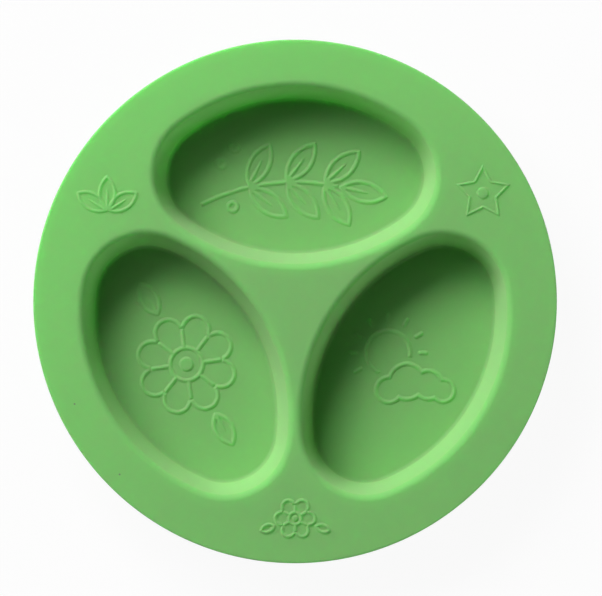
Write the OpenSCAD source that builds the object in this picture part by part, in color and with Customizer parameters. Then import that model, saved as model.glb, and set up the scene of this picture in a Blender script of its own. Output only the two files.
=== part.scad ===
// Round divided plate moulded in one piece of silicone: a flat rim with three
// oval wells set 120 degrees apart, their narrow ends rounded, and a low line
// relief on the floors and on the rim between the wells.
// The origin is on the table under the centre of the plate, +Z is up and the
// first well lies towards +Y.

/* [Plate] */
// Outside diameter of the rim
plate_d = 215; // [180:1:260]
// Height from the table to the top of the rim
plate_h = 26; // [20:0.5:34]
// Thickness of the flat rim
rim_t = 3.4; // [2.6:0.1:4.4]
// Radius of the outer edge of the rim, above and below
edge_r = 1.4; // [0.8:0.1:1.6]

/* [Wells] */
// Narrowest width of the rim, from the outer edge to the lip of a well
rim_w = 17; // [13:0.5:22]
// Distance from the centre of the plate to the lip of each well
hub_r = 13.3; // [10.5:0.1:16.5]
// Flat width left between the lips of two neighbouring wells
web_w = 1.3; // [0.4:0.1:2]
// How far the wall of a well leans in, from its lip to its floor
wall_run = 7.8; // [6:0.1:10]
// Thickness of the walls
wall_t = 3; // [2:0.1:4]
// Thickness of the floors
floor_t = 3; // [2:0.1:4]

/* [Roundings] */
// Radius of the lip of a well
lip_r = 2.5; // [1.5:0.1:3.5]
// Radius of the foot of the wall, where it meets the floor
foot_r = 1.2; // [0.6:0.1:2]
// Radius of the foot of a bowl, where its outside turns under it
sole_r = 4.2; // [3:0.1:5.5]
// Radius between the underside of the rim and the outside of a bowl
under_r = 3; // [2:0.1:4]

/* [Relief] */
// Width of a raised line
line_w = 1.8; // [1.2:0.1:2.4]
// Height of a raised line
line_h = 0.6; // [0.3:0.1:1]
// Bare floor left at the sides of a well, between its motif and the wall
side_gap = 9.5; // [6:0.5:14]
// Bare floor left at the ends of a well, between its motif and the wall
end_gap = 13; // [8:0.5:20]
// Distance from the centre of the plate to the small motifs on the rim
badge_c = 89; // [84:0.5:93]
// Size of the small motifs on the rim, from side to side
badge_d = 24; // [18:0.5:27]
// Line width of the small motifs, as a share of the width of a raised line
badge_thin = 0.75; // [0.5:0.05:1]

/* [Hidden] */
$fa = 3;
$fs = 0.6;

silicone = [0.45, 0.72, 0.40];
wells = 3;
// Straight pieces that stand in for a rounding of a quarter turn
arc_steps = 8;

// All sizes of the oval are whole thousandths, so that its arcs meet exactly.
function snap(size) = round(size * 1000) / 1000;

// The lip of a well is an oval of four arcs: two of end_r round its narrow
// ends and two of side_r along its sides. They meet on lines that rise 4 for
// every 3 along the oval, where they have a common tangent. The rim and the
// hub fix the width of the oval, and the web beside it fixes its length.
seam = [3, 4, 5];
well_c = (plate_d / 2 - rim_w + hub_r) / 2;
well_b = snap((plate_d / 2 - rim_w - hub_r) / 2);
web_angle = 180 / wells;
web_reach = well_c * sin(web_angle) - web_w / 2;
unit = snap((web_reach - well_b) / (seam.y * (1 - sin(web_angle))));
end_c = seam.x * unit;
side_c = seam.y * unit;
end_r = well_b - unit;
side_r = end_r + seam.z * unit;
floor_a = end_c + end_r - wall_run;
floor_b = well_b - wall_run;

// The wall is the straight line that touches the rounding of the lip and the
// one of the foot. Points are [distance in from the lip, height].
lip_z = plate_h - lip_r;
foot_z = floor_t + foot_r;
wall_drop = lip_z - foot_z;
draft = atan2(wall_run, wall_drop) - asin((lip_r + foot_r) / norm([wall_run, wall_drop]));
lean = [cos(draft), sin(draft)];

// Points on a rounding, from one angle to the other
function arc(centre, r, from, to) = [
    for (i = [0:arc_steps])
        let (turn = from + (to - from) * i / arc_steps)
        [snap(centre.x + r * cos(turn)), snap(centre.y + r * sin(turn))]
];

// How far in from the lip a rounding of radius r has its centre, when it
// touches the outside of the wall and its centre is at height z
function outside_x(r, z) = (lip_r - wall_t + r - (z - lip_z) * lean.y) / lean.x;

well_edge = concat(
    [[0, plate_h + rim_t]],
    arc([0, lip_z], lip_r, 90, draft),
    arc([wall_run, foot_z], foot_r, 180 + draft, 270)
);

under_z = plate_h - rim_t;
under_x = outside_x(-under_r, under_z - under_r);
bowl_edge = concat(
    [[snap(under_x), plate_h - rim_t / 2]],
    arc([under_x, under_z - under_r], under_r, 90, draft),
    arc([outside_x(sole_r, sole_r), sole_r], sole_r, 180 + draft, 270)
);

// A quarter of the oval: what turns round the given centre, whose side follows
// the edge at radius r, kept where it lies inside the outline
module quarter(edge, centre, r, outline) {
    top = edge[0].y;
    bottom = edge[len(edge) - 1].y;
    intersection() {
        translate(centre)
            rotate_extrude(angle = 360)
                polygon(concat([[0, top]], [for (p = edge) [r - p.x, p.y]], [[0, bottom]]));
        translate([0, 0, bottom - 1]) linear_extrude(top - bottom + 2) polygon(outline);
    }
}

// A solid on the oval of a well, whose side follows the given edge all round
module oval_solid(edge) {
    tip = [end_c, 0];
    far = [end_c + seam.x * end_r, seam.y * end_r];
    for (turn = [0, 180]) rotate(turn) {
        quarter(edge, tip, end_r, [tip, [far.x, -far.y], far]);
        quarter(edge, [0, -side_c], side_r, [tip, far, [-far.x, far.y], -tip]);
    }
}

module in_well(i) {
    rotate(i * 360 / wells) translate([0, well_c, 0]) children();
}

module each_well() {
    for (i = [0:wells - 1]) in_well(i) children();
}

module rim() {
    rim_r = plate_d / 2;
    rotate_extrude(angle = 360)
        polygon(concat(
            [[0, under_z]],
            arc([rim_r - edge_r, under_z + edge_r], edge_r, 270, 360),
            arc([rim_r - edge_r, plate_h - edge_r], edge_r, 0, 90),
            [[0, plate_h]]
        ));
}

module body() {
    difference() {
        union() {
            rim();
            each_well() oval_solid(bowl_edge);
        }
        each_well() oval_solid(well_edge);
    }
}

// Outline of a pointed leaf, from the origin to its tip on +X. An inset draws
// it smaller all round.
module leaf_shape(length, width, inset = 0) {
    side = (pow(length, 2) + pow(width, 2)) / (4 * width);
    intersection_for (way = [-1, 1])
        translate([length / 2, way * (side - width / 2)]) circle(r = side - inset);
}

// A straight line from the origin along +X
module bar(length) {
    translate([0, -line_w / 2]) square([length, line_w]);
}

module leaf_ring(length, width) {
    difference() {
        leaf_shape(length, width);
        leaf_shape(length, width, line_w);
    }
}

// A leaf drawn in line, with a vein that ends short of its tip
module leaf(length, width) {
    vein = 0.68;
    leaf_ring(length, width);
    translate([line_w, 0]) bar(vein * length - line_w);
}

module ring(r) {
    difference() {
        circle(r = r);
        circle(r = r - line_w);
    }
}

// Part of a ring of mid radius r about the origin, less than half of it
module bow(r, from, to) {
    far = 2 * r;
    intersection() {
        ring(r + line_w / 2);
        polygon([[0, 0], far * [cos(from), sin(from)], far * [cos(to), sin(to)]]);
    }
}

// Round petals about an eye, r from the middle to the tip of a petal
module flower(r, petals) {
    half = 180 / petals;
    overlap = 1.08;
    petal_r = overlap * r * sin(half) / (1 + sin(half));
    petal_c = r - petal_r;
    eye_r = 0.36 * r;
    seed_r = 0.14 * r;
    for (i = [1:petals]) rotate(2 * half * i + half) translate([eye_r - line_w / 2, 0])
        bar(petal_c * cos(half) - eye_r + line_w);
    difference() {
        for (i = [1:petals]) rotate(2 * half * i) translate([petal_c, 0]) circle(r = petal_r);
        for (i = [1:petals]) rotate(2 * half * i) translate([petal_c, 0]) circle(r = petal_r - line_w);
        circle(r = petal_c);
    }
    ring(eye_r);
    circle(r = seed_r);
}

// A sprig along X: a bowed stem with pairs of leaves, a leaf at its tip and
// berries beside its foot, u long and v high on each side of the middle
module sprig(u, v) {
    bend_r = 2.2 * u;
    spread = 50;
    leaf_l = 0.98 * v;
    leaf_w = 0.46 * v;
    tip_x = 0.46 * u;
    sag = 0.12 * v;
    translate([0, -sag - bend_r]) {
        bow(bend_r, 90 - asin(tip_x / bend_r), 90 + asin(u / bend_r));
        for (x = [-0.5, -0.1, 0.3] * u) rotate(-asin(x / bend_r)) translate([0, bend_r]) {
            rotate(spread) leaf(leaf_l, leaf_w);
            rotate(-spread) leaf(leaf_l, leaf_w);
        }
        rotate(-asin(tip_x / bend_r)) translate([0, bend_r]) leaf(u - tip_x, leaf_w);
    }
    for (at = [[-0.78, 0.24], [-0.64, 0.56], [-0.66, -0.6]])
        translate([at.x * u, at.y * v]) ring(0.13 * v);
}

// A sun of radius r that stands behind a cloud: its rays fan over its top
module sun(r) {
    disc_r = 0.6 * r;
    ray_r = 0.74 * r;
    ring(disc_r);
    for (turn = [0:30:210]) rotate(turn) translate([ray_r, 0]) bar(r - ray_r);
}

// Outline of a cloud, width from side to side. An inset draws it smaller.
module cloud_shape(width, inset = 0) {
    puffs = [[-0.32, 0.04, 0.18], [-0.1, 0.14, 0.24], [0.16, 0.1, 0.2], [0.34, 0.03, 0.16]];
    for (puff = puffs) translate([puff.x, puff.y] * width) circle(r = puff.z * width - inset);
}

module sky(v) {
    cloud_at = [0.22, -0.56] * v;
    cloud_w = 1.6 * v;
    difference() {
        translate([-0.3, 0.22] * v) sun(0.78 * v);
        translate(cloud_at) cloud_shape(cloud_w, -line_w);
    }
    translate(cloud_at) difference() {
        cloud_shape(cloud_w);
        cloud_shape(cloud_w, line_w);
    }
}

// Three leaves that fan out of one foot, in a circle of diameter size
module fan(size) {
    spread = 58;
    leaf_l = 0.62 * size;
    leaf_w = 0.32 * size;
    translate([0, -leaf_l / 2])
        for (turn = [-spread, 0, spread]) rotate(90 + turn) leaf(leaf_l, leaf_w);
}

// Outline of a star with five points. An inset draws it smaller.
module star_shape(r, inset = 0) {
    waist = 0.52;
    points = 5;
    polygon([
        for (i = [0:2 * points - 1])
            (r - inset) * (i % 2 == 0 ? 1 : waist) * [sin(180 / points * i), cos(180 / points * i)]
    ]);
}

module star(size) {
    difference() {
        star_shape(size / 2);
        star_shape(size / 2, 1.7 * line_w);
    }
    circle(r = 0.1 * size);
}

// A flower between two leaves, in a circle of diameter size
module posy(size) {
    flower_r = 0.37 * size;
    leaf_l = 0.3 * size;
    flower(flower_r, 6);
    for (way = [200, 340]) rotate(way) translate([0.95 * flower_r, 0]) leaf_ring(leaf_l, 0.6 * leaf_l);
}

// Places a small motif on the rim, upright, and thins its lines
module on_rim(turn) {
    translate(badge_c * [cos(turn), sin(turn)]) scale(badge_thin) children();
}

// Raises lines from a flat at height z
module raised(z) {
    translate([0, 0, z - line_h]) linear_extrude(2 * line_h) children();
}

module relief() {
    u = floor_a - end_gap;
    v = floor_b - side_gap;
    beside = 1.08 * v;
    badge_size = badge_d / badge_thin;
    raised(floor_t) {
        in_well(0) sprig(u, v);
        in_well(1) {
            flower(v, 8);
            for (way = [0, 180]) rotate(way) translate([beside, 0]) leaf(u - beside, 0.42 * v);
        }
        in_well(2) rotate(-240) sky(v);
    }
    raised(plate_h) {
        on_rim(150) fan(badge_size);
        on_rim(30) star(badge_size);
        on_rim(270) posy(badge_size);
    }
}

module plate() {
    color(silicone) {
        body();
        relief();
    }
}

plate();
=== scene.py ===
# %% [markdown]
# # A divided plate, moulded in silicone
#
# The plate is one piece of soft green silicone, pressed in a mould: a flat
# rim, three oval wells and low raised lines on the floors and on the rim. A
# maker would cut the two halves of that mould, one for the top and one for the
# underside. This lesson does the same: it works out both faces of the plate as
# heights over a flat plan, covers each with a net of triangles, and joins the
# two round the outer edge.
#
# Heights over a plan suit anything that has to come out of a mould, because
# such a shape has no undercuts. They also let one formula say how a wall meets
# its floor, and how a raised line swells out of it.

# %% Frame
import math

import bmesh
import bpy
import numpy as np
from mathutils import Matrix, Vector
from mathutils.geometry import delaunay_2d_cdt


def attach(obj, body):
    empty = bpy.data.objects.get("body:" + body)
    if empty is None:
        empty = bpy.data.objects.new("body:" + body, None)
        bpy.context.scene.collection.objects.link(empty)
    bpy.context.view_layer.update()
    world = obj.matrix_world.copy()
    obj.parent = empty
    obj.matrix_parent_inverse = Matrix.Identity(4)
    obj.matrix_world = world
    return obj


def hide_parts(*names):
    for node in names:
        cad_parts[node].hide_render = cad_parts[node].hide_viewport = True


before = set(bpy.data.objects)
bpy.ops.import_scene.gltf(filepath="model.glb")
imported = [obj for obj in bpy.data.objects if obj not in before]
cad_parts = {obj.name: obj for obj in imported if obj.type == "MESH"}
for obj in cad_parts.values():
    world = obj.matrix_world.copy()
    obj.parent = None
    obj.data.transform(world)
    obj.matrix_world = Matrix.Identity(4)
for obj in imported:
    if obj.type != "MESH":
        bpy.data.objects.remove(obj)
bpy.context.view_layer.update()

MM = 0.001

# %% [markdown]
# ## Sizes
#
# These are the sizes on the plate's drawing, in millimetres. Everything below
# follows from them, so the shape on screen and the solid that stands behind it
# in the shared frame agree. Only the roundings differ a little from that solid,
# to catch the light as the real ones do. Lips and feet are softer: the rounding
# starts a little outside the lip and ends further in, and the wall between them
# stays where it was. The outer edge is crisper.

# %% Sizes
plate_r = 107.5
plate_h = 26.0
rim_t = 3.4
edge_r = 0.6
rim_w = 17.0  # from the outer edge to the nearest lips
hub_r = 13.3  # from the middle of the plate to the nearest lips
web_w = 1.3  # between the lips of two wells, where they are nearest
wall_run = 7.8  # from the lip in to the foot of the wall
wall_t = 3.0
floor_t = 3.0
lip_from = -0.6  # where the rounding of the lip starts, from the lip inwards
lip_r = 3.0
floor_from = 8.2  # where the flat floor starts, from the lip inwards
foot_r = 1.8
sole_r = 4.2  # rounding of the bowls, seen from below
under_r = 3.0  # rounding between the bowls and the underside of the rim
line_w = 1.8
line_h = 0.6
badge_c = 89.0  # from the middle of the plate to the motifs on the rim
badge_d = 24.0
badge_thin = 0.75  # width of their lines, as a share of the usual width
print("plate:", 2 * plate_r, "mm across and", plate_h, "mm high")

# %% [markdown]
# ## The oval of a well
#
# Each well looks like an ellipse, but a toolmaker draws it with four arcs that
# run smoothly into each other: two tight ones round the ends and two wide ones
# along the sides. The reason is practical. A line that runs at a fixed
# distance inside an ellipse is no ellipse, while arcs keep their centres and
# only change their radius. Lip, wall and floor all follow from one oval.
#
# The centres of the end arcs lie 3 units out along the oval and those of the
# side arcs 4 units across it, and two arcs meet on the line through both of
# their centres. The unit follows from the gap between the lips of two wells.

# %% Oval
well_c = (plate_r - rim_w + hub_r) / 2
well_b = (plate_r - rim_w - hub_r) / 2
sixty = math.radians(60)
unit = (well_c * math.sin(sixty) - web_w / 2 - well_b) / (4 * (1 - math.sin(sixty)))
end_c, side_c = 3 * unit, 4 * unit
end_r = well_b - unit
side_r = end_r + math.hypot(end_c, side_c)
print("oval of a well:", round(2 * (end_c + end_r), 1), "x", round(2 * well_b, 1), "mm")


def turned(x, y, degrees):
    """The same points, seen from axes that are turned by an angle."""
    a = math.radians(degrees)
    return x * math.cos(a) + y * math.sin(a), y * math.cos(a) - x * math.sin(a)


def in_well(i, x, y):
    """Points in the axes of well i, whose long side lies along X."""
    x, y = turned(x, y, 120 * i)
    return x, y - well_c


def insets(x, y):
    """How far inside the lip of each well the points lie; outside it is negative."""
    found = []
    for i in range(3):
        u, v = np.abs(in_well(i, x, y))
        at_end = (u > end_c) & (end_c * v <= side_c * (u - end_c))
        from_end = end_r - np.hypot(u - end_c, v)
        from_side = side_r - np.hypot(u, v + side_c)
        found.append(np.where(at_end, from_end, from_side))
    return np.array(found)


def inset(x, y):
    """The same for the nearest lip alone."""
    return insets(x, y).max(axis=0)


# %% [markdown]
# ## The section through a wall
#
# The section is the curve that a cut across the wall would show: a soft lip, a
# straight wall that leans a little so that the plate comes out of its mould,
# and a small rounding at the foot. It is kept as points of inset and height.
# The outside of the wall runs parallel to it, 3 mm away. A bevel on a modelled
# wall could make the roundings too, but where two wells come close their lips
# run into each other, and there two drops simply add up.

# %% Section
def arc(centre, r, start, stop, steps):
    """Points on a rounding, from one angle to another."""
    turn = np.radians(np.linspace(start, stop, steps + 1))
    return np.stack([centre[0] + r * np.cos(turn), centre[1] + r * np.sin(turn)], axis=1)


lip_z = plate_h - lip_r
foot_z = floor_t + foot_r
drop = lip_z - foot_z
run = floor_from - lip_from
draft = math.atan2(run, drop) - math.asin((lip_r + foot_r) / math.hypot(run, drop))
lean = math.degrees(draft)


def outside_x(r, z):
    """Inset of the centre of a rounding that touches the outside of the wall."""
    return lip_from + (lip_r - wall_t + r - (z - lip_z) * math.sin(draft)) / math.cos(draft)


def between(a, b, steps):
    """Points on the straight wall between two roundings."""
    return np.linspace(a[-1], b[0], steps + 1)[1:-1]


lip = arc((lip_from, lip_z), lip_r, 90, lean, steps=10)
foot = arc((floor_from, foot_z), foot_r, 180 + lean, 270, steps=8)
inside = np.concatenate([lip, between(lip, foot, steps=4), foot])

under_z = plate_h - rim_t
neck_z = under_z - under_r
neck = arc((outside_x(-under_r, neck_z), neck_z), under_r, 90, lean, steps=6)
sole = arc((outside_x(sole_r, sole_r), sole_r), sole_r, 180 + lean, 270, steps=7)
outside = np.concatenate([neck, between(neck, sole, steps=3), sole])
neck_from, sole_from = outside[0, 0], outside[-1, 0]
print("walls lean", round(lean, 1), "degrees; the sole starts", round(sole_from, 1), "mm in")

# %% [markdown]
# ## Raised lines
#
# The pictures on the floors are drawn in low, soft lines. Each line comes from
# a small function that says how deep a point lies inside it: the numbers grow
# from 0 at the line's border to half its width on its crest. Such depths are
# easy to combine. Two shapes together take the larger depth, what they share
# takes the smaller, and a line along the border of a shape takes the smaller of
# the depth and what is left of the line's width.

# %% Line tools
def lined(depth):
    """A line of the usual width along the border of a shape."""
    return np.minimum(depth, line_w - depth)


def disc(x, y, r):
    """A round dot about the origin."""
    return r - np.hypot(x, y)


def bar(x, y, length):
    """A straight line with round ends, from the origin along X."""
    past = np.maximum(np.abs(x - length / 2) + line_w / 2 - length / 2, 0)
    return line_w / 2 - np.hypot(past, y)


def leaf_shape(x, y, length, width):
    """A pointed leaf from the origin along X, between two arcs."""
    side = (length**2 + width**2) / (4 * width)
    return side - np.hypot(x - length / 2, np.abs(y) + side - width / 2)


def vein(x, y, length):
    """A line from the origin along X that thins out towards its end."""
    half_width = line_w / 2 * np.clip(1 - (x / length)**2, 0, 1)
    past = np.maximum(line_w / 2 - x, 0) + np.maximum(x - length, 0)
    return half_width - np.hypot(past, y)


def leaf(x, y, length, width):
    """A leaf in line, with a vein that ends short of its tip."""
    middle = vein(x - line_w, y, 0.72 * length - line_w)
    return np.maximum(lined(leaf_shape(x, y, length, width)), middle)


def folded(x, y, parts):
    """Points of a round pattern, all brought into its first half part."""
    half = math.pi / parts
    a = np.abs((np.arctan2(y, x) + half) % (2 * half) - half)
    return np.hypot(x, y), a, half


print("raised lines:", line_w, "mm wide and", line_h, "mm high")

# %% [markdown]
# ## Motifs for the floors
#
# The motifs are plain ones: a sprig with berries, a flower, and a sun behind a
# cloud. They could be drawn as curves and given a thickness, but then the lines
# would need cutting where they meet, and depths meet by themselves. A round
# motif is worked out once, for half a petal, and folding the plan round its
# centre repeats it. Sizes inside a motif are shares of the room that it has.

# %% Motifs for the floors
def flower(x, y, r, petals):
    """Round petals about an eye with a dot, with a crease between petals."""
    d, a, half = folded(x, y, petals)
    just_touching = r * math.sin(half) / (1 + math.sin(half))
    petal_r, eye_r, dot_r = 1.08 * just_touching, 0.36 * r, 0.14 * r
    petal_c = r - petal_r
    border = lined(petal_r - np.hypot(d * np.cos(a) - petal_c, d * np.sin(a)))
    crease = bar(d * np.cos(half - a) - eye_r + line_w / 2, d * np.sin(half - a),
                 petal_c * math.cos(half) - eye_r + line_w)
    middle = np.maximum(lined(eye_r - d), dot_r - d)
    return np.maximum.reduce([np.minimum(border, d - petal_c), crease, middle])


def sprig(x, y, u, v):
    """A bent stem with leaves in pairs, one at its tip, and loose berries."""
    bend_r, tip_x, top_y = 2.2 * u, 0.46 * u, -0.12 * v
    leaf_l, leaf_w, leaf_turn, berry_r = 0.98 * v, 0.46 * v, 50, 0.13 * v
    berries = [lined(disc(x - s * u, y - t * v, berry_r))
               for s, t in ((-0.78, 0.24), (-0.64, 0.56), (-0.66, -0.6))]
    y = y - top_y + bend_r
    tip, cut = math.asin(tip_x / bend_r), math.asin(u / bend_r)
    stem = np.minimum.reduce([lined(bend_r + line_w / 2 - np.hypot(x, y)),
                              math.sin(tip) * y - math.cos(tip) * x,
                              math.sin(cut) * y + math.cos(cut) * x])

    def from_stem(s):
        """The same points, seen from the stem at distance s, with X along it."""
        p, q = turned(x, y, -math.degrees(math.asin(s / bend_r)))
        return p, q - bend_r

    leaves = [leaf(*turned(*from_stem(s * u), way), leaf_l, leaf_w)
              for s in (-0.5, -0.1, 0.3) for way in (leaf_turn, -leaf_turn)]
    last = leaf(*from_stem(tip_x), u - tip_x, leaf_w)
    return np.maximum.reduce([stem, last] + leaves + berries)


def sky(x, y, v):
    """A cloud of four round puffs in front of a sun with rays."""
    cloud_w, sun_r = 1.6 * v, 0.78 * v
    ray_from = 0.74 * sun_r
    puffs = ((-0.32, 0.04, 0.18), (-0.1, 0.14, 0.24), (0.16, 0.1, 0.2), (0.34, 0.03, 0.16))
    p, q = x - 0.22 * v, y + 0.56 * v
    cloud = np.maximum.reduce([disc(p - s * cloud_w, q - t * cloud_w, r * cloud_w)
                               for s, t, r in puffs])
    p, q = x + 0.3 * v, y - 0.22 * v
    sun = [lined(disc(p, q, 0.6 * sun_r))]
    for turn in range(0, 211, 30):
        s, t = turned(p, q, turn)
        sun.append(bar(s - ray_from, t, sun_r - ray_from))
    behind = np.minimum(np.maximum.reduce(sun), -cloud - line_w)
    return np.maximum(lined(cloud), behind)


print("motifs for the floors:", ", ".join(motif.__name__ for motif in (sprig, flower, sky)))

# %% [markdown]
# ## Motifs for the rim
#
# The rim is narrow, so its three motifs are small: a fan of leaves, a star and a
# flower with two leaves. They use the same tools and the same thinking, and each
# is drawn about its own middle, which makes it easy to set down anywhere.

# %% Motifs for the rim
def fan(x, y, size):
    """Three leaves that spread from one point."""
    leaf_l, leaf_w, spread = 0.62 * size, 0.32 * size, 58
    return np.maximum.reduce([leaf(*turned(x, y + leaf_l / 2, 90 + turn), leaf_l, leaf_w)
                              for turn in (-spread, 0, spread)])


def star(x, y, size):
    """Five points in line, about a dot. The line's width is measured down from a tip."""
    d, a, half = folded(y, x, 5)
    tip, dent, dot_r = size / 2, 0.26 * size, 0.1 * size
    dent_x, dent_y = dent * math.cos(half), dent * math.sin(half)
    side = math.hypot(tip - dent_x, dent_y)
    reach = tip * dent_y / side
    border = reach - (d * np.cos(a) * dent_y + d * np.sin(a) * (tip - dent_x)) / side
    band = 1.7 * line_w * reach / tip
    return np.maximum(np.minimum(border, band - border), dot_r - d)


def posy(x, y, size):
    """A flower with a leaf on each side."""
    r, leaf_l, leaf_w = 0.37 * size, 0.3 * size, 0.18 * size
    parts = [flower(x, y, r, petals=6)]
    for way in (200, 340):
        p, q = turned(x, y, way)
        parts.append(lined(leaf_shape(p - 0.95 * r, q, leaf_l, leaf_w)))
    return np.maximum.reduce(parts)


print("motifs for the rim:", ", ".join(motif.__name__ for motif in (fan, star, posy)))

# %% [markdown]
# ## Where the motifs lie
#
# The motifs on the floors fill their ovals up to a bare border, and those on the
# rim lie between the wells, with thinner lines. One function for each gives the
# share of a line's half width at any point of the plan: 0 at the border of a
# line, 1 on its crest. The sprig and the flower follow their wells, and the sky
# stands upright for someone who has the first well at the top.

# %% Relief
end_gap, side_gap = 13.0, 9.5
reach_u = end_c + end_r - wall_run - end_gap
reach_v = well_b - wall_run - side_gap
beside, beside_w = 1.08 * reach_v, 0.42 * reach_v  # the two leaves beside the flower
badges = ((150, fan), (30, star), (270, posy))  # compass angles on the rim


def on_floors(x, y):
    """Share of the half width, for the lines on the floors."""
    u, v = in_well(0, x, y)
    depths = [sprig(u, v, reach_u, reach_v)]
    u, v = in_well(1, x, y)
    depths.append(flower(u, v, reach_v, petals=8))
    depths.append(leaf(np.abs(u) - beside, v, reach_u - beside, beside_w))
    u, v = turned(*in_well(2, x, y), -240)
    depths.append(sky(u, v, reach_v))
    return np.maximum.reduce(depths) / (line_w / 2)


def on_rim(x, y):
    """The same for the lines on the rim."""
    depths = []
    for turn, motif in badges:
        a = math.radians(turn)
        p = (x - badge_c * math.cos(a)) / badge_thin
        q = (y - badge_c * math.sin(a)) / badge_thin
        depths.append(motif(p, q, badge_d / badge_thin))
    return np.maximum.reduce(depths) / (line_w / 2)


print("the motifs fill", round(2 * reach_u, 1), "x", round(2 * reach_v, 1), "mm of each floor")

# %% [markdown]
# ## The two heights
#
# All of the plate now fits in two functions of the plan. The top is the height
# of the rim, less the drop into each well, plus the raised lines. Where the lips
# of two wells meet, both drops are taken off, and that rounds the ridge between
# them as the mould does. The underside has no lines, so its section is enough.

# %% Heights
flank = 0.55  # share of a line's half width that slopes; the rest is flat crest


def raised(share):
    """Height of a soft line over its ground, from the share of its half width."""
    rise = np.clip(share / flank, 0, 1)
    return line_h * rise * rise * (3 - 2 * rise)


def top_height(x, y):
    """Height of the top, with its lines."""
    s = insets(x, y)
    ground = plate_h - np.sum(plate_h - np.interp(s, inside[:, 0], inside[:, 1]), axis=0)
    s = s.max(axis=0)
    share = np.where(s > floor_from, on_floors(x, y),
                     np.where(s < lip_from, on_rim(x, y), 0))
    return ground + raised(share)


def under_height(x, y):
    """Height of the underside."""
    return np.interp(inset(x, y), outside[:, 0], outside[:, 1])


middle = np.zeros(1)
print("at the middle of the plate the top is at", round(top_height(middle, middle)[0], 2),
      "mm and the underside at", round(under_height(middle, middle)[0], 2), "mm")

# %% [markdown]
# ## Rings of points
#
# A net of triangles is only as good as its points. On the walls they lie on
# rings, one for each point of the section, so that every ring keeps one height.
# Where two wells lie close together their lips overlap, so each ring is cut at
# the border of its own third of the plate.

# %% Rings
def oval_ring(i, s, sides=84, ends=40):
    """Points of the oval at inset s in well i."""
    corner = math.degrees(math.atan2(side_c, end_c))
    parts = []
    for cx, cy, r, start, stop, steps in (
            (end_c, 0, end_r, -corner, corner, ends),
            (0, -side_c, side_r, corner, 180 - corner, sides),
            (-end_c, 0, end_r, 180 - corner, 180 + corner, ends),
            (0, side_c, side_r, 180 + corner, 360 - corner, sides)):
        parts.append(arc((cx, cy), r - s, start, stop, steps)[:-1])
    ring = np.concatenate(parts)
    x, y = turned(ring[:, 0], ring[:, 1] + well_c, -120 * i)
    return np.stack([x, y], axis=1)


def in_sector(i, points):
    """How far inside the third of the plate round well i each point lies."""
    u, v = turned(points[:, 0], points[:, 1], 120 * i)
    return v * math.sin(sixty) - np.abs(u) * math.cos(sixty)


def cut_ring(i, s, sides=84, ends=40):
    """The stretches of a ring that lie in its own third of the plate."""
    ring = oval_ring(i, s, sides, ends)
    side = in_sector(i, ring)
    if side.min() > 0:
        return [(ring, True)]
    start = int(np.argmin(side))
    ring, side = np.roll(ring, -start, axis=0), np.roll(side, -start)
    stretches, current = [], []
    for k in range(len(ring)):
        n = (k + 1) % len(ring)
        if side[k] > 0:
            current.append(ring[k])
        if (side[k] > 0) != (side[n] > 0):
            share = side[k] / (side[k] - side[n])
            current.append(ring[k] + share * (ring[n] - ring[k]))
            if side[n] <= 0:
                stretches.append((np.array(current), False))
                current = []
    return stretches


print("a ring on a lip has", len(oval_ring(0, 0)), "points, before the cuts")

# %% [markdown]
# ## Circles and loose points
#
# The outer edge takes plain circles. Flat parts need only a few points, in rows
# like honeycomb, which give even triangles. A square grid would do as well, but
# all its triangles would lie the same way, and that shows on soft curves.

# %% Circles and loose points
def circle_ring(r, count):
    """Points round the middle of the plate."""
    turn = np.linspace(0, 2 * math.pi, count, endpoint=False)
    return np.stack([r * np.cos(turn), r * np.sin(turn)], axis=1)


def lattice(pitch, reach):
    """Points in rows like honeycomb, over the whole plate."""
    row = pitch * math.sqrt(3) / 2
    x, y = np.meshgrid(np.arange(-reach, reach, pitch), np.arange(-reach, reach, row))
    x = x + np.where(np.arange(len(x)) % 2, pitch / 2, 0)[:, None]
    return x.ravel(), y.ravel()


bare_pitch, under_pitch = 2.6, 5.0
print("loose points lie", bare_pitch, "mm apart above and", under_pitch, "mm below")

# %% [markdown]
# ## Points along the raised lines
#
# Along the raised lines the points are much closer. They start as a honeycomb
# and then slide to the nearest of a few levels, from just outside the line to
# its crest, so that the crest is a row of points and not a ragged edge. The
# slope of the depth says which way to slide, and of points that end up in one
# small square only the first stays.

# %% Points along the lines
slide_in, slide_out = 0.3, 0.35  # how far a point may slide, in half widths
least_steep = 0.2  # of the usual slope, squared, so that no point is thrown far
small_step = 0.01


def along_lines(share, half_width, pitch, levels):
    """Points on the given levels of the lines, as shares of their half width."""
    levels = np.array(levels)
    x, y = lattice(pitch, plate_r)
    d = share(x, y)
    near = (d > levels[0] - slide_in) & (d < levels[-1] + slide_out)
    x, y, d = x[near], y[near], d[near]
    slope_x = (share(x + small_step, y) - share(x - small_step, y)) / (2 * small_step)
    slope_y = (share(x, y + small_step) - share(x, y - small_step)) / (2 * small_step)
    steep = np.maximum(np.hypot(slope_x, slope_y)**2, least_steep / half_width**2)
    slide = (levels[np.abs(d[:, None] - levels).argmin(axis=1)] - d) / steep
    points = np.stack([x + slide * slope_x, y + slide * slope_y], axis=1)
    square = 0.45 * pitch
    first = np.unique(np.round(points / square).astype(int), axis=0, return_index=True)[1]
    return points[first]


fine = [
    along_lines(on_floors, line_w / 2, pitch=0.36, levels=(-0.35, 0, 0.5, 1)),
    along_lines(on_rim, badge_thin * line_w / 2, pitch=0.3, levels=(-0.4, 0, 0.5, 1)),
]
print("points along the lines:", len(fine[0]), "on the floors,", len(fine[1]), "on the rim")

# %% [markdown]
# ## A net over the points
#
# Blender can lay a net of well-shaped triangles over any points of a plane, and
# it keeps the edges that it is told to. The rings are such edges, so no
# triangle cuts across a rounding. The usual way, a subdivided grid, would need
# millions of faces before its lips looked round.

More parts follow.
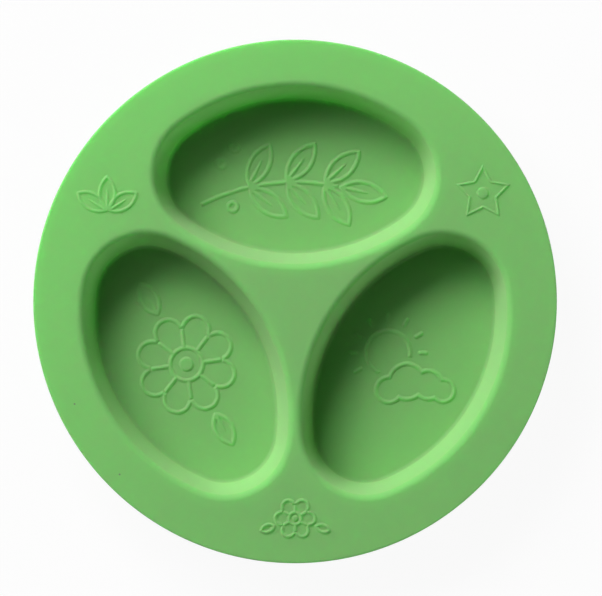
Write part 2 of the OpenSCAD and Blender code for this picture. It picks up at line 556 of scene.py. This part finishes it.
# %% Net
class Plan:
    """Points of one face of the plate, with the edges that its net has to keep."""

    def __init__(self):
        self.points, self.edges, self.count = [], [], 0

    def add(self, points, closed=False, linked=False):
        """More points: loose, linked in a row, or closed to a ring."""
        n = len(points)
        if linked or closed:
            last = n if closed else n - 1
            self.edges += [(self.count + k, self.count + (k + 1) % n) for k in range(last)]
        self.points.append(points)
        self.count += n

    def net(self):
        """The points after the net is laid, and its triangles."""
        flat = [Vector(p) for p in np.concatenate(self.points).tolist()]
        all_triangles, same_point, with_origins = 0, 1e-5, False
        verts, _, faces, _, _, _ = delaunay_2d_cdt(
            flat, self.edges, [], all_triangles, same_point, with_origins)
        return np.array([tuple(v) for v in verts]), faces


edge_count = 420
beside_edge = 0.5
edge_ring = circle_ring(plate_r - edge_r, edge_count)
rim_ring = circle_ring(plate_r - edge_r - beside_edge, edge_count)
print("the outer edge has", edge_count, "points")

# %% [markdown]
# ## The net of the top
#
# The net of the top takes the rings of all three wells, and the lines where
# their thirds of the plate meet become edges too. One more ring beside each
# rounding keeps the flat flat right up to it, so the light turns there and not
# before. The points of the raised lines and the loose ones fill the rest.

# %% Top
beside_lip, beside_foot = 0.3, 0.4
clear_lip, clear_foot, clear_edge = 1.2, 1.5, 1.5  # room left by the loose points
clear_floor_line, clear_rim_line = 1.2, 1.4  # the same at the lines, in half widths
ridge_pitch = 0.5


def ray(i, distances):
    """Points on the line between two wells, at distances from the middle."""
    a = math.radians(30 + 120 * i)
    return np.stack([distances * math.cos(a), distances * math.sin(a)], axis=1)


top = Plan()
top.add(edge_ring, closed=True)
top.add(rim_ring, closed=True)
for i in range(3):
    for s in [lip_from - beside_lip, *inside[:, 0], floor_from + beside_foot]:
        for stretch, closed in cut_ring(i, s):
            top.add(stretch, closed=closed, linked=True)
    ridge = ray(i, np.arange(0, plate_r, ridge_pitch))
    top.add(ridge[inset(*ridge.T) > lip_from - beside_lip], linked=True)

for points in fine:
    top.add(points)

x, y = lattice(bare_pitch, plate_r)
s = inset(x, y)
bare = (s > floor_from + clear_foot) & (on_floors(x, y) < -clear_floor_line)
bare |= (s < lip_from - clear_lip) & (on_rim(x, y) < -clear_rim_line)
bare &= np.hypot(x, y) < plate_r - edge_r - clear_edge
top.add(np.stack([x, y], axis=1)[bare])
top_points, top_faces = top.net()
print("top:", len(top_points), "points,", len(top_faces), "triangles")

# %% [markdown]
# ## The net of the underside
#
# Plates like this are shells of even thickness, so the underside is the outside
# of three bowls that run into each other between the wells. A flat bottom would
# be simpler, but it would make the plate about three times as heavy. The rings
# of the bowls stop where two bowls meet, on three straight lines from the
# middle of the plate, which are edges of this net too.

# %% Underside
beside_neck, beside_sole = 0.4, 0.5
clear_bowl, clear_ray = 2.0, 1.0
ray_pitch, ray_gap = 1.5, 1.0

under = Plan()
under.add(edge_ring, closed=True)
under.add(rim_ring, closed=True)
for i in range(3):
    for s in [neck_from - beside_neck, *outside[:, 0], sole_from + beside_sole]:
        for stretch, closed in cut_ring(i, s, sides=64, ends=32):
            under.add(stretch, closed=closed, linked=True)
    distances = np.arange(0, plate_r - edge_r - ray_gap, ray_pitch)
    if i > 0:
        distances = distances[1:]  # the middle of the plate is there already
    under.add(ray(i, distances), linked=True)

x, y = lattice(under_pitch, plate_r)
s = inset(x, y)
bare = (s < neck_from - clear_bowl) | (s > sole_from + clear_bowl)
bare &= np.hypot(x, y) < plate_r - edge_r - clear_bowl
for i in range(3):
    bare &= np.abs(turned(x, y, 30 + 60 * i)[1]) > clear_ray
under.add(np.stack([x, y], axis=1)[bare])
under_points, under_faces = under.net()
print("underside:", len(under_points), "points,", len(under_faces), "triangles")

# %% [markdown]
# ## Joining the two faces
#
# The outer edge is a band of rings between the two faces, rounded above and
# below. Its first ring lies on the outermost points of the top and its last ring
# on those of the underside. Points that lie in one place are merged, so that the
# plate closes to one skin without a seam. A closed skin matters here, because
# light is going to travel inside it.

# %% Plate
same_place = 2e-7  # in metres


def joined():
    """Points and faces of the top, the underside and the band between them."""
    edge = np.concatenate([
        arc((plate_r - edge_r, plate_h - edge_r), edge_r, 90, 0, steps=6),
        arc((plate_r - edge_r, under_z + edge_r), edge_r, 0, -90, steps=6)])
    places = [np.column_stack([top_points, top_height(*top_points.T)])]
    faces = [tuple(f) for f in top_faces]
    shift = len(top_points)
    places.append(np.column_stack([under_points, under_height(*under_points.T)]))
    faces += [tuple(shift + v for v in reversed(f)) for f in under_faces]
    shift += len(under_points)
    for r, z in edge:
        places.append(np.column_stack([circle_ring(r, edge_count), np.full(edge_count, z)]))
    for row in range(len(edge) - 1):
        for k in range(edge_count):
            a = shift + row * edge_count + k
            b = shift + row * edge_count + (k + 1) % edge_count
            faces.append((a, a + edge_count, b + edge_count, b))
    return np.concatenate(places) * MM, faces


places, faces = joined()
mesh = bpy.data.meshes.new("plate_skin")
mesh.from_pydata(places.tolist(), [], faces)
shape = bmesh.new()
shape.from_mesh(mesh)
bmesh.ops.remove_doubles(shape, verts=shape.verts, dist=same_place)
open_edges = sum(not e.is_manifold for e in shape.edges)
volume = shape.calc_volume()
shape.to_mesh(mesh)
shape.free()
mesh.shade_smooth()
plate = bpy.data.objects.new("plate_skin", mesh)
bpy.context.scene.collection.objects.link(plate)
mesh.calc_loop_triangles()
print("plate:", len(mesh.vertices), "points,", len(mesh.loop_triangles), "triangles,",
      open_edges, "open edges,", round(volume * 1e9), "mm3")
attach(plate, "root")
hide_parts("plate")

# %% [markdown]
# ## The silicone
#
# Moulded silicone is dull and a little translucent. Light goes in and comes out
# some millimetres away, and green light travels furthest, so shaded walls keep a
# deep green and do not turn grey. A tinted volume could do this too, but it is
# slow and full of noise. Subsurface scattering gives the look on one closed
# skin: its radius says how far red, green and blue travel, as shares of the
# scale.
#
# Over that lies the pale bloom of a soft matt skin, made as a broad sheen, and a
# wide, weak gloss that lightens the lips. All these numbers are the same all
# over the plate, so they are set on the shader itself.

# %% Silicone
light_path = 0.012  # in metres
travel = (0.16, 1.0, 0.45)
bloom, bloom_tint = 0.38, (1.0, 0.92, 0.76, 1)
gloss = 0.4

silicone = bpy.data.materials.new("moulded_silicone")
silicone.use_nodes = True
nodes, links = silicone.node_tree.nodes, silicone.node_tree.links
nodes.clear()


def node(kind, place, **settings):
    """A new node at a place in the editor, with its settings."""
    made = nodes.new(kind)
    made.location = place
    for name, value in settings.items():
        setattr(made, name, value)
    return made


out = node("ShaderNodeOutputMaterial", (900, 0))
skin = node("ShaderNodeBsdfPrincipled", (600, 0))
links.new(skin.outputs["BSDF"], out.inputs["Surface"])
skin.inputs["Subsurface Weight"].default_value = 1.0
skin.inputs["Subsurface Radius"].default_value = travel
skin.inputs["Subsurface Scale"].default_value = light_path
skin.inputs["Diffuse Roughness"].default_value = 1.0
skin.inputs["Specular IOR Level"].default_value = gloss
skin.inputs["Sheen Weight"].default_value = bloom
skin.inputs["Sheen Roughness"].default_value = 1.0
skin.inputs["Sheen Tint"].default_value = bloom_tint
mesh.materials.append(silicone)
print("light travels", [round(light_path * t / MM, 1) for t in travel], "mm in the silicone")

# %% [markdown]
# ## Colour and dust
#
# Pigment is stirred into the silicone before it is moulded, so the green is
# nearly even. A slow noise moves it by a few per cent, which is enough to take
# away the look of a flat fill. Two tiny dark specks lie on the rim, lower left.
# Each is a distance from one spot, turned into a mask that fades within half a
# millimetre, so no picture has to be painted.

# %% Green and specks
greens = (0.080, 0.478, 0.048, 1), (0.086, 0.498, 0.052, 1)
cloud_scale, cloud_detail = 22, 3
speck_green = (0.03, 0.10, 0.03, 1)
specks = (-90.5, -42.1), (-72.0, -71.0)
speck_core, speck_edge = 0.2, 0.55
first_colour, second_colour, mixed = 6, 7, 2  # sockets of a Mix node set to colours

where = node("ShaderNodeTexCoord", (-1300, 0))
clouds = node("ShaderNodeTexNoise", (-1100, 200), noise_dimensions="3D")
clouds.inputs["Scale"].default_value = cloud_scale
clouds.inputs["Detail"].default_value = cloud_detail
links.new(where.outputs["Object"], clouds.inputs["Vector"])
tone = node("ShaderNodeMix", (-700, 200), data_type="RGBA")
tone.inputs[first_colour].default_value = greens[0]
tone.inputs[second_colour].default_value = greens[1]
links.new(clouds.outputs["Fac"], tone.inputs[0])

colour = tone.outputs[mixed]
for k, (x, y) in enumerate(specks):
    speck = node("ShaderNodeVectorMath", (-1100, -500 - 300 * k), operation="DISTANCE")
    speck.inputs[1].default_value = (x * MM, y * MM, plate_h * MM)
    links.new(where.outputs["Object"], speck.inputs[0])
    spot = node("ShaderNodeMapRange", (-900, -500 - 300 * k))
    spot.inputs["From Min"].default_value = speck_edge * MM
    spot.inputs["From Max"].default_value = speck_core * MM
    links.new(speck.outputs["Value"], spot.inputs["Value"])
    dusted = node("ShaderNodeMix", (-500 + 200 * k, 200), data_type="RGBA")
    dusted.inputs[second_colour].default_value = speck_green
    links.new(spot.outputs["Result"], dusted.inputs[0])
    links.new(colour, dusted.inputs[first_colour])
    colour = dusted.outputs[mixed]
links.new(colour, skin.inputs["Base Color"])
print("green from", greens[0][:3], "to", greens[1][:3], "with", len(specks), "specks")

# %% [markdown]
# ## The satin of the mould
#
# The skin copies the fine satin of the blasted steel mould. The slow noise also
# varies the gloss a little, as hands and washing do, and a very fine noise
# drives a weak bump, a tenth of a millimetre deep at the most. Real grains would
# cost millions of faces, and from arm's length only their effect on light shows.

# %% Satin
gloss_from, gloss_to = 0.64, 0.72
grain_scale, grain_detail = 1400, 2
grain_depth, grain_strength = 0.0001, 0.15

satin = node("ShaderNodeMapRange", (-300, -100))
satin.inputs["To Min"].default_value = gloss_from
satin.inputs["To Max"].default_value = gloss_to
links.new(clouds.outputs["Fac"], satin.inputs["Value"])
links.new(satin.outputs["Result"], skin.inputs["Roughness"])

grain = node("ShaderNodeTexNoise", (-900, -300), noise_dimensions="3D")
grain.inputs["Scale"].default_value = grain_scale
grain.inputs["Detail"].default_value = grain_detail
links.new(where.outputs["Object"], grain.inputs["Vector"])
bump = node("ShaderNodeBump", (-300, -400))
bump.inputs["Strength"].default_value = grain_strength
bump.inputs["Distance"].default_value = grain_depth
links.new(grain.outputs["Fac"], bump.inputs["Height"])
links.new(bump.outputs["Normal"], skin.inputs["Normal"])
print("roughness", gloss_from, "to", gloss_to, "- nodes in the material:", len(nodes))

# %% [markdown]
# ## The table
#
# The plate stands on a white table that runs out of the picture. To the camera
# the table is nearly all an even glow of strength 1, which is white, mixed with
# a little matt paint that takes the shadow of the plate. To all other rays it is
# plain paint, so it throws no more light on the plate than a table would. It
# lies a hair under the soles, so that no two faces share one plane.

# %% Table
table_half, table_z = 3.0, -0.00005  # in metres
shadow_share = 0.06
paint_white = (0.8, 0.8, 0.8, 1)

corners = [(-table_half, -table_half, table_z), (table_half, -table_half, table_z),
           (table_half, table_half, table_z), (-table_half, table_half, table_z)]
table_mesh = bpy.data.meshes.new("table")
table_mesh.from_pydata(corners, [], [(0, 1, 2, 3)])
table = bpy.data.objects.new("table", table_mesh)
bpy.context.scene.collection.objects.link(table)

white = bpy.data.materials.new("white_table")
white.use_nodes = True
nodes, links = white.node_tree.nodes, white.node_tree.links
nodes.clear()
out = node("ShaderNodeOutputMaterial", (600, 0))
paint = node("ShaderNodeBsdfDiffuse", (0, -150))
paint.inputs["Color"].default_value = paint_white
glow = node("ShaderNodeEmission", (0, 0))
shown = node("ShaderNodeMixShader", (200, 0))
shown.inputs[0].default_value = shadow_share
seen = node("ShaderNodeMixShader", (400, 0))
rays = node("ShaderNodeLightPath", (0, 400))
links.new(glow.outputs[0], shown.inputs[1])
links.new(paint.outputs[0], shown.inputs[2])
links.new(rays.outputs["Is Camera Ray"], seen.inputs[0])
links.new(paint.outputs[0], seen.inputs[1])
links.new(shown.outputs[0], seen.inputs[2])
links.new(seen.outputs[0], out.inputs["Surface"])
table_mesh.materials.append(white)
print("table:", 2 * table_half, "m wide, with", shadow_share, "of its look from paint")

# %% [markdown]
# ## The light
#
# The wells are lit by one broad window, high up on the left, and their shadows
# are soft and long. One big lamp could stand for it, but a row of round ones is
# easier to shape: two side by side give the width, a low one reaches the rim and
# the facing walls but not the floors, and a high one softens the end of the
# shadow. Two weak ones on the other side, and a very dim world, open the shade.

# %% Light
lamp_distance = 2.2  # in metres
room_light = 0.035
lamps = (  # name, compass angle, height angle, width in m, power in W
    ("window_left", 145, 37, 0.96, 19.5),
    ("window_right", 115, 37, 0.96, 30.0),
    ("window_low", 130, 20, 0.96, 9.0),
    ("window_high", 130, 47, 1.8, 8.0),
    ("fill_right", 350, 15, 0.55, 5.6),
    ("fill_front", 282, 15, 0.55, 6.0),
)


def add_lamp(name, azimuth, elevation, size, power):
    """A round lamp at a distance from the plate, turned towards it."""
    a, e = math.radians(azimuth), math.radians(elevation)
    way = Vector((math.cos(a) * math.cos(e), math.sin(a) * math.cos(e), math.sin(e)))
    data = bpy.data.lights.new(name, "AREA")
    data.shape = "DISK"
    data.size = size
    data.energy = power
    made = bpy.data.objects.new(name, data)
    made.location = way * lamp_distance
    made.rotation_mode = "QUATERNION"
    made.rotation_quaternion = way.to_track_quat("Z", "Y")
    bpy.context.scene.collection.objects.link(made)


for row in lamps:
    add_lamp(*row)
world = bpy.data.worlds.new("room")
bpy.context.scene.world = world
world.use_nodes = True
air = world.node_tree.nodes["Background"]
air.inputs["Color"].default_value = (1, 1, 1, 1)
air.inputs["Strength"].default_value = room_light
print(len(lamps), "lamps with", round(sum(row[-1] for row in lamps), 1), "W in all")

# %% [markdown]
# ## The camera
#
# The camera looks straight down from three metres above the rim, so that the
# wells keep their shape. A nearer one would look into them from the middle. Its
# lens is worked out from the width that the picture shows at the height of the
# rim, and it stands a little off the middle, as the plate does in the frame. A
# straight look down needs no turn: that is how a new camera looks.

# %% Camera
camera_rise = 3.0  # in metres, as the next two are
shown_width = 0.2471
off_middle = (0.002447, 0.001404)
sensor_width = 36  # in millimetres, as lenses are

eye = bpy.data.cameras.new("eye")
eye.sensor_width = sensor_width
eye.lens = sensor_width * camera_rise / shown_width
eye.clip_start, eye.clip_end = 0.1, 20
camera = bpy.data.objects.new("eye", eye)
camera.location = (*off_middle, camera_rise + plate_h * MM)
bpy.context.scene.collection.objects.link(camera)
bpy.context.scene.camera = camera
bpy.context.scene.view_settings.view_transform = "Standard"
print("lens:", round(eye.lens), "mm")
